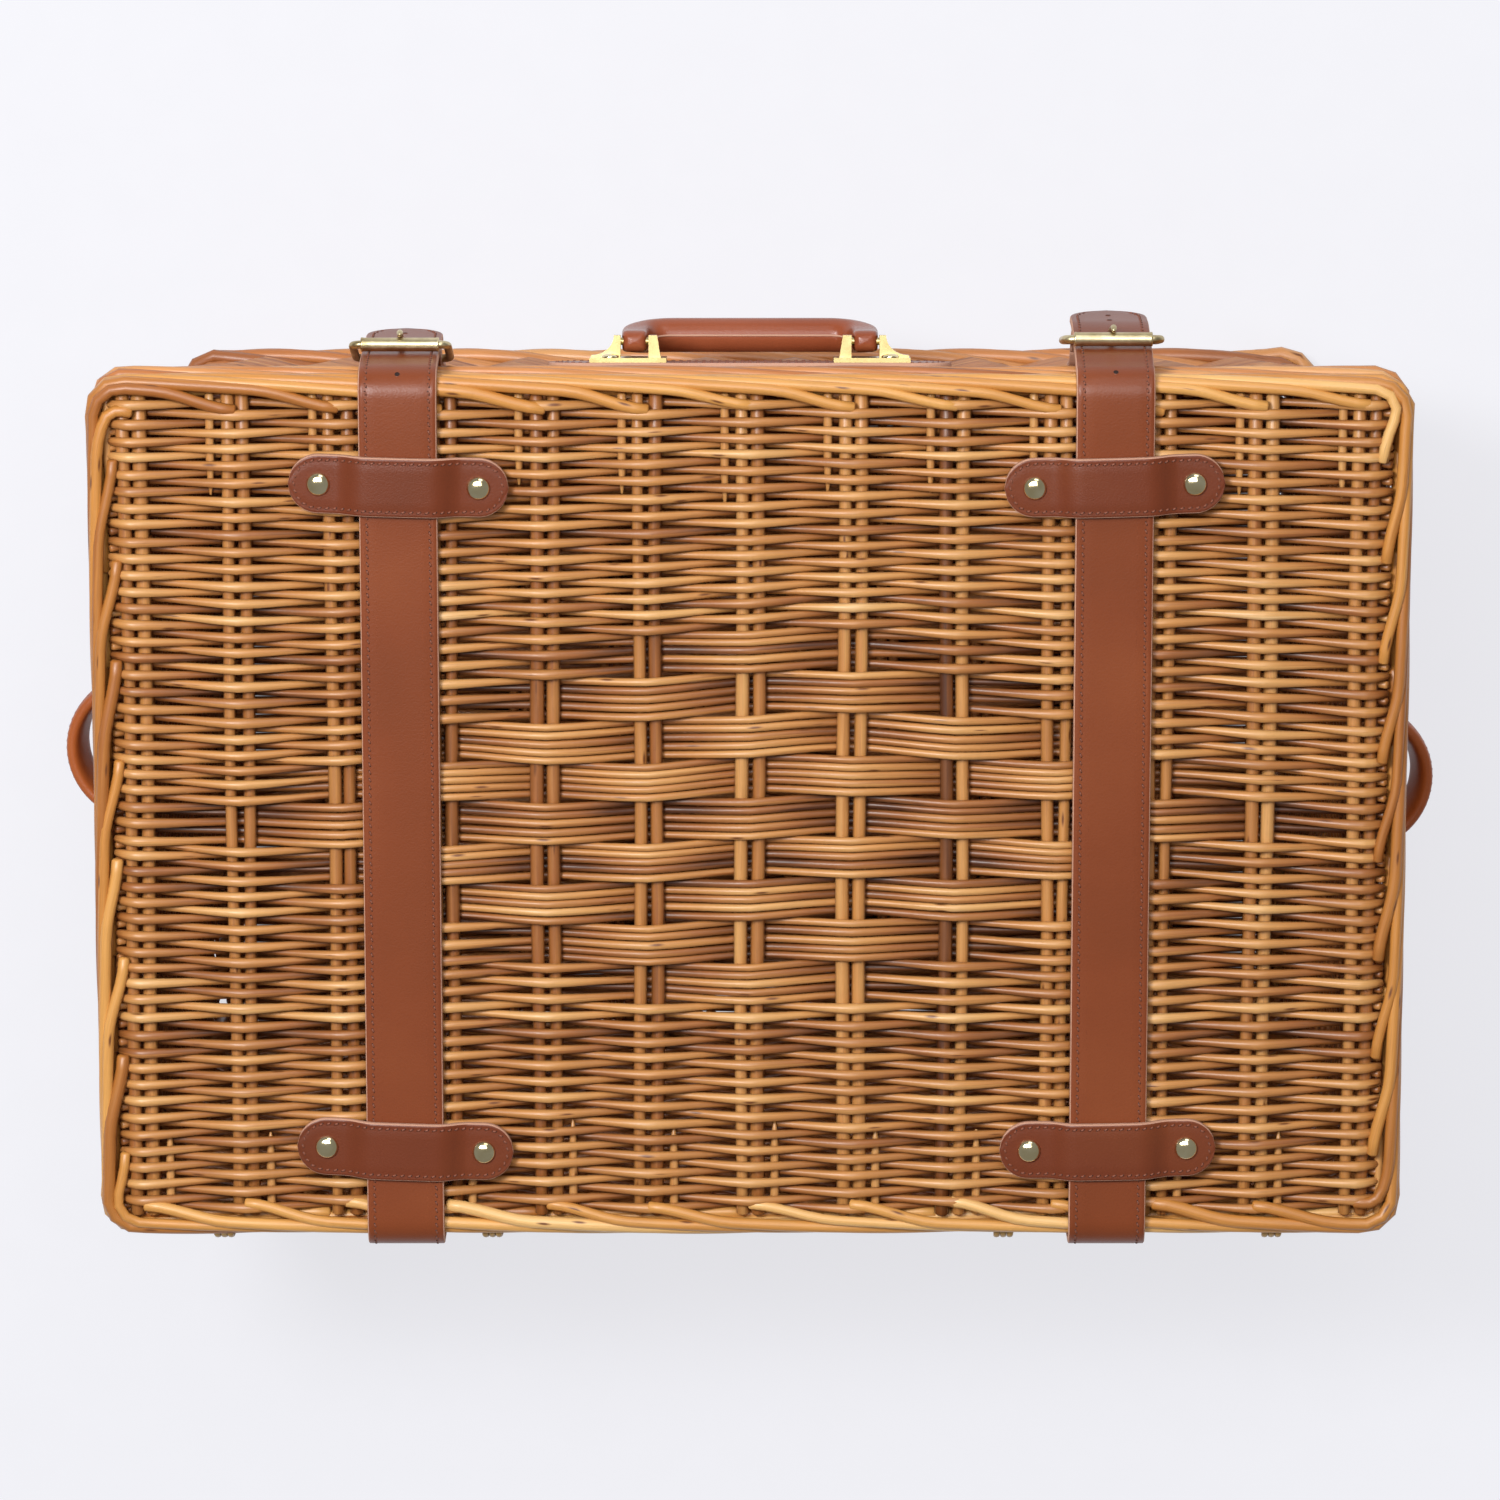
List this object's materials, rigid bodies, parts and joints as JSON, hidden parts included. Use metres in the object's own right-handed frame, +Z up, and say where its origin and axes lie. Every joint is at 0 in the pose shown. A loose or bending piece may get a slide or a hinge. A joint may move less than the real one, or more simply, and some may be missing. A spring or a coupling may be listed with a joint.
{
  "type": "picnic basket",
  "caption": "Rectangular lidded willow picnic basket, tapered walls, rolled borders, leather straps with keepers and roller buckles, folding front handle and end handles",
  "frame": {"origin": "under the centre of the basket, on the floor that it stands on", "axes": "+X to the right as seen from the front, +Y from the front wall with the handle to the hinge wall, +Z up"},
  "size_m": [0.5466, 0.3687, 0.2106],
  "materials": {
    "willow_weave": "peeled willow weave under satin varnish",
    "willow_border": "thicker willow rods under satin varnish",
    "cane": "thin split cane",
    "leather": "tan-brown strap leather, smooth waxed grain, raw cut edges",
    "brass": "polished pale brass, slightly antiqued on the buckles"
  },
  "bodies": {
    "basket": {"base_panel": "willow_weave", "foot_front": "willow_border", "foot_back": "willow_border", "foot_left": "willow_border", "foot_right": "willow_border", "wall_front": "willow_weave", "wall_back": "willow_weave", "wall_left": "willow_weave", "wall_right": "willow_weave", "corner_posts": "willow_border", "rim_front": "willow_border", "rim_back": "willow_border", "rim_left": "willow_border", "rim_right": "willow_border", "hinge_rings": "cane", "hinge_strap_left": "leather", "hinge_strap_right": "leather", "back_strap_left": "leather", "back_strap_right": "leather", "short_strap_left": "leather", "short_strap_right": "leather", "short_strap_rivets": "brass", "back_strap_rivets": "brass", "handle_patch": "leather", "handle_bracket_left": "brass", "handle_bracket_right": "brass", "bracket_rivets": "brass", "handle_pin_left": "brass", "handle_pin_right": "brass", "end_handle_left": "leather", "end_handle_right": "leather", "end_handle_rivets": "brass"},
    "lid": {"lid_panel": "willow_weave", "lid_border_front": "willow_border", "lid_border_back": "willow_border", "lid_border_left": "willow_border", "lid_border_right": "willow_border", "strap_left": "leather", "strap_right": "leather", "strap_end_left": "leather", "strap_end_right": "leather", "keeper_front_left": "leather", "keeper_front_right": "leather", "keeper_back_left": "leather", "keeper_back_right": "leather", "keeper_rivets": "brass"},
    "handle": {"handle_arm_left": "leather", "handle_arm_right": "leather", "handle_grip": "leather"},
    "buckle_left": {"buckle_frame_left": "brass"},
    "roller_left": {"buckle_roller_left": "brass"},
    "prong_left": {"buckle_prong_left": "brass"},
    "buckle_right": {"buckle_frame_right": "brass"},
    "roller_right": {"buckle_roller_right": "brass"},
    "prong_right": {"buckle_prong_right": "brass"}
  },
  "joints": [
    {"name": "lid_hinge", "type": "hinge", "parent": "basket", "child": "lid", "pos_m": [0, 0.171, 0.187], "axis": [-1, 0, 0], "range_deg": [0, 105], "deforming": ["hinge_strap_left", "hinge_strap_right", "strap_end_left", "strap_end_right"]},
    {"name": "handle_hinge", "type": "hinge", "parent": "basket", "child": "handle", "pos_m": [0, -0.16941, 0.11601], "axis": [-1, 0, 0], "range_deg": [0, 165]},
    {"name": "left_buckle_hinge", "type": "hinge", "parent": "basket", "child": "buckle_left", "pos_m": [-0.139, -0.1759, 0.154], "axis": [1, 0, 0], "range_deg": [0, 70]},
    {"name": "left_roller_spin", "type": "hinge", "parent": "buckle_left", "child": "roller_left", "pos_m": [-0.139, -0.18076, 0.18157], "axis": [1, 0, 0], "continuous": true},
    {"name": "left_prong_hinge", "type": "hinge", "parent": "buckle_left", "child": "prong_left", "pos_m": [-0.139, -0.1759, 0.154], "axis": [1, 0, 0], "range_deg": [0, 55]},
    {"name": "right_buckle_hinge", "type": "hinge", "parent": "basket", "child": "buckle_right", "pos_m": [0.134, -0.1689, 0.154], "axis": [1, 0, 0], "range_deg": [0, 70]},
    {"name": "right_roller_spin", "type": "hinge", "parent": "buckle_right", "child": "roller_right", "pos_m": [0.134, -0.17847, 0.18031], "axis": [1, 0, 0], "continuous": true},
    {"name": "right_prong_hinge", "type": "hinge", "parent": "buckle_right", "child": "prong_right", "pos_m": [0.134, -0.1689, 0.154], "axis": [1, 0, 0], "range_deg": [0, 55]}
  ]
}
